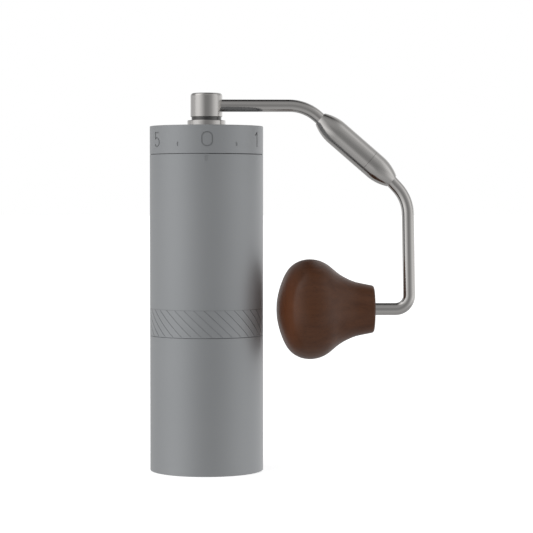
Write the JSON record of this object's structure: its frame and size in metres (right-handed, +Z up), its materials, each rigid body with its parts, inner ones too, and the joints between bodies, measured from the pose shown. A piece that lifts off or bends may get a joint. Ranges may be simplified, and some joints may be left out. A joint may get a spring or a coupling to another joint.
{
  "type": "hand crank coffee grinder",
  "caption": "Slim round hand coffee grinder with an external adjustment ring, magnetic catch cup and a folding crank with a pear-shaped wooden knob.",
  "frame": {"origin": "middle of the base that the grinder stands on, on the body axis", "axes": "+Z up along the body axis, +X towards the folded crank arm, -Y the front with the index mark"},
  "size_m": [0.127, 0.054, 0.1802],
  "materials": {
    "grey_aluminium": "satin bead-blasted, grey anodised",
    "plain_aluminium": "machined, clear anodised",
    "satin_steel": "satin stainless steel",
    "burr_steel": "ground and hardened steel",
    "turned_steel": "turned stainless steel",
    "spring_steel": "blued spring steel",
    "bearing_steel": "ground and polished bearing steel",
    "magnet": "nickel plated",
    "black_steel": "black-oxide steel",
    "brass": "turned brass",
    "nylon": "natural nylon",
    "silicone": "matt black silicone",
    "dark_wood": "dark brown stained beech, satin lacquer"
  },
  "bodies": {
    "cup": {"catch_cup": "grey_aluminium", "base_pad": "silicone", "cup_collar": "plain_aluminium", "cup_magnets": "magnet"},
    "housing": {"outer_body": "grey_aluminium", "guide_keys": "turned_steel", "detent_balls": "bearing_steel", "detent_springs": "spring_steel", "dial_snap_ring": "spring_steel", "burr_retaining_ring": "turned_steel", "strike_ring": "turned_steel", "ring_burr": "burr_steel"},
    "dial": {"dial_ring": "grey_aluminium", "click_ring": "turned_steel"},
    "carrier": {"hopper_tube": "plain_aluminium", "upper_bracket": "plain_aluminium", "lower_bracket": "plain_aluminium", "bearing_clips": "spring_steel", "bearing_shields": "bearing_steel", "upper_bearing_outer_ring": "bearing_steel", "lower_bearing_outer_ring": "bearing_steel"},
    "upper_ball_set": {"upper_bearing_cage": "nylon", "upper_bearing_balls": "bearing_steel"},
    "lower_ball_set": {"lower_bearing_cage": "nylon", "lower_bearing_balls": "bearing_steel"},
    "shaft": {"drive_shaft": "turned_steel", "shaft_clip": "spring_steel", "upper_bearing_inner_ring": "bearing_steel", "lower_bearing_inner_ring": "bearing_steel", "preload_spring": "spring_steel", "cone_burr": "burr_steel", "burr_washer": "turned_steel", "burr_nut": "turned_steel"},
    "lid": {"lid": "grey_aluminium", "lid_seal": "silicone", "lid_bushing": "satin_steel", "lid_nut": "plain_aluminium", "hub_washer": "black_steel"},
    "crank": {"crank_hub": "satin_steel", "hub_magnet": "magnet", "lid_retaining_clip": "spring_steel", "crank_arm": "satin_steel", "fold_sleeve": "satin_steel", "fold_bush": "brass"},
    "crank_lower": {"fold_cap": "satin_steel", "fold_pin": "turned_steel", "fold_clip": "spring_steel", "fold_washer": "nylon", "fold_stop_pin": "turned_steel", "crank_lower_rod": "satin_steel", "knob_clip": "spring_steel", "knob_washer": "nylon"},
    "knob": {"knob": "dark_wood", "knob_sleeve": "brass"}
  },
  "joints": [
    {"name": "housing_lift", "type": "slide", "parent": "cup", "child": "housing", "axis": [0, 0, 1], "range_m": [0, 0.03]},
    {"name": "dial_turn", "type": "hinge", "parent": "housing", "child": "dial", "pos_m": [0, 0, 0.158], "axis": [0, 0, 1], "range_deg": [-600, 0]},
    {"name": "burr_feed", "type": "slide", "parent": "housing", "child": "carrier", "axis": [0, 0, 1], "range_m": [-0.00126, 0]},
    {"name": "shaft_spin", "type": "hinge", "parent": "carrier", "child": "shaft", "pos_m": [0, 0, 0.12], "axis": [0, 0, 1], "continuous": true},
    {"name": "upper_ball_orbit", "type": "hinge", "parent": "carrier", "child": "upper_ball_set", "pos_m": [0, 0, 0.1515], "axis": [0, 0, 1], "continuous": true},
    {"name": "lower_ball_orbit", "type": "hinge", "parent": "carrier", "child": "lower_ball_set", "pos_m": [0, 0, 0.1005], "axis": [0, 0, 1], "continuous": true},
    {"name": "crank_lift", "type": "slide", "parent": "shaft", "child": "crank", "axis": [0, 0, 1], "range_m": [0, 0.03]},
    {"name": "lid_lift", "type": "slide", "parent": "carrier", "child": "lid", "axis": [0, 0, 1], "range_m": [0, 0.03]},
    {"name": "arm_fold", "type": "hinge", "parent": "crank", "child": "crank_lower", "pos_m": [0.06925, 0, 0.15515], "axis": [0.7559, 0, -0.6547], "range_deg": [0, 180]},
    {"name": "knob_spin", "type": "hinge", "parent": "crank_lower", "child": "knob", "pos_m": [0.06, 0, 0.0771], "axis": [1, 0, 0], "continuous": true}
  ],
  "couplings": [
    {"joint": "burr_feed", "follows": "dial_turn", "m_per_rad": 0.00011937},
    {"joint": "upper_ball_orbit", "follows": "shaft_spin", "ratio": 0.4008},
    {"joint": "lower_ball_orbit", "follows": "shaft_spin", "ratio": 0.4008},
    {"joint": "lid_lift", "follows": "crank_lift", "ratio": 1}
  ]
}
